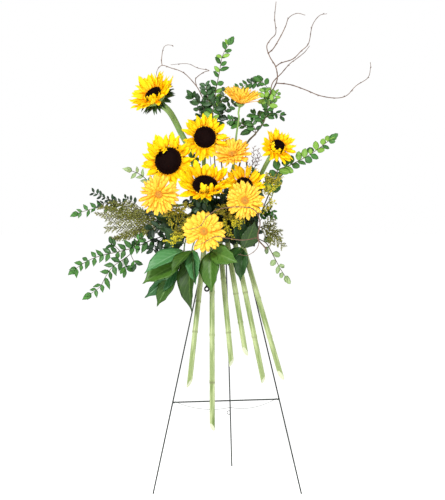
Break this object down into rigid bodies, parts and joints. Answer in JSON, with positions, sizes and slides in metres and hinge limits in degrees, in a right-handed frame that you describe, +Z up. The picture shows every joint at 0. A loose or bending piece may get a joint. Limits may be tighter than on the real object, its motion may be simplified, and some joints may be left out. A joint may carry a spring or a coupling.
{
  "type": "standing flower arrangement",
  "caption": "Standing spray of sunflowers, gerberas, salal, evergreen twigs and curly willow in wet foam, clipped to a three-legged wire easel whose rear leg folds.",
  "frame": {"origin": "on the floor, under the middle of the bounding box", "axes": "+Z up, the flowers face -Y, +X to the right as the front is seen"},
  "size_m": [0.9065, 0.5337, 1.4163],
  "materials": {
    "easel_wire": "dark green painted wire, satin",
    "stay_wire": "thin grey wire",
    "tray_plastic": "nearly black green plastic, semi-matte",
    "floral_foam": "wet green foam, matte",
    "sunflower_petal": "bright yellow ray petals, orange at the root",
    "sunflower_disc": "nearly black brown florets, matte",
    "flower_stem": "fresh green stalk, softly glossy",
    "gerbera_petal": "golden yellow petals, orange at the eye",
    "huckleberry_leaf": "dark green leathery leaves on brown twigs",
    "plume_needle": "olive green needles, matte",
    "goldenrod_floret": "yellow green flower heads, matte",
    "salal_leaf": "broad leathery green leaves, satin",
    "willow_twig": "brown bark, matte",
    "cut_stem": "pale lime green stalks with darker streaks"
  },
  "bodies": {
    "arrangement": {"cut_stem_1": "cut_stem", "cut_stem_2": "cut_stem", "cut_stem_3": "cut_stem", "cut_stem_4": "cut_stem", "cut_stem_5": "cut_stem", "cut_stem_6": "cut_stem", "foam_block": "floral_foam", "front_frame": "easel_wire", "gerbera_bottom_bloom": "gerbera_petal", "gerbera_bottom_stem": "flower_stem", "gerbera_high_bloom": "gerbera_petal", "gerbera_high_stem": "flower_stem", "gerbera_left_bloom": "gerbera_petal", "gerbera_left_stem": "flower_stem", "gerbera_right_bloom": "gerbera_petal", "gerbera_right_stem": "flower_stem", "gerbera_upper_bloom": "gerbera_petal", "gerbera_upper_stem": "flower_stem", "goldenrod_left": "goldenrod_floret", "goldenrod_middle": "goldenrod_floret", "goldenrod_right": "goldenrod_floret", "holder_tray": "tray_plastic", "huckleberry_crown_left": "huckleberry_leaf", "huckleberry_crown_right": "huckleberry_leaf", "huckleberry_left_high": "huckleberry_leaf", "huckleberry_left_low": "huckleberry_leaf", "huckleberry_left_small": "huckleberry_leaf", "huckleberry_right": "huckleberry_leaf", "huckleberry_right_low": "huckleberry_leaf", "huckleberry_tall": "huckleberry_leaf", "plume_left": "plume_needle", "plume_right": "plume_needle", "salal_centre": "salal_leaf", "salal_front": "salal_leaf", "salal_left": "salal_leaf", "salal_right": "salal_leaf", "stay": "stay_wire", "sunflower_behind_disc": "sunflower_disc", "sunflower_behind_petals": "sunflower_petal", "sunflower_behind_stem": "flower_stem", "sunflower_high_disc": "sunflower_disc", "sunflower_high_petals": "sunflower_petal", "sunflower_high_stem": "flower_stem", "sunflower_left_disc": "sunflower_disc", "sunflower_left_petals": "sunflower_petal", "sunflower_left_stem": "flower_stem", "sunflower_middle_disc": "sunflower_disc", "sunflower_middle_petals": "sunflower_petal", "sunflower_middle_stem": "flower_stem", "sunflower_right_disc": "sunflower_disc", "sunflower_right_petals": "sunflower_petal", "sunflower_right_stem": "flower_stem", "sunflower_top_disc": "sunflower_disc", "sunflower_top_petals": "sunflower_petal", "sunflower_top_stem": "flower_stem", "willow_left": "willow_twig", "willow_low": "willow_twig", "willow_right": "willow_twig"},
    "rear_leg": {"rear_leg": "easel_wire"}
  },
  "joints": [
    {"name": "rear_leg_fold", "type": "hinge", "parent": "arrangement", "child": "rear_leg", "pos_m": [-0.0056, 0, 0.872], "axis": [1, 0, 0], "range_deg": [-22, 0]}
  ]
}
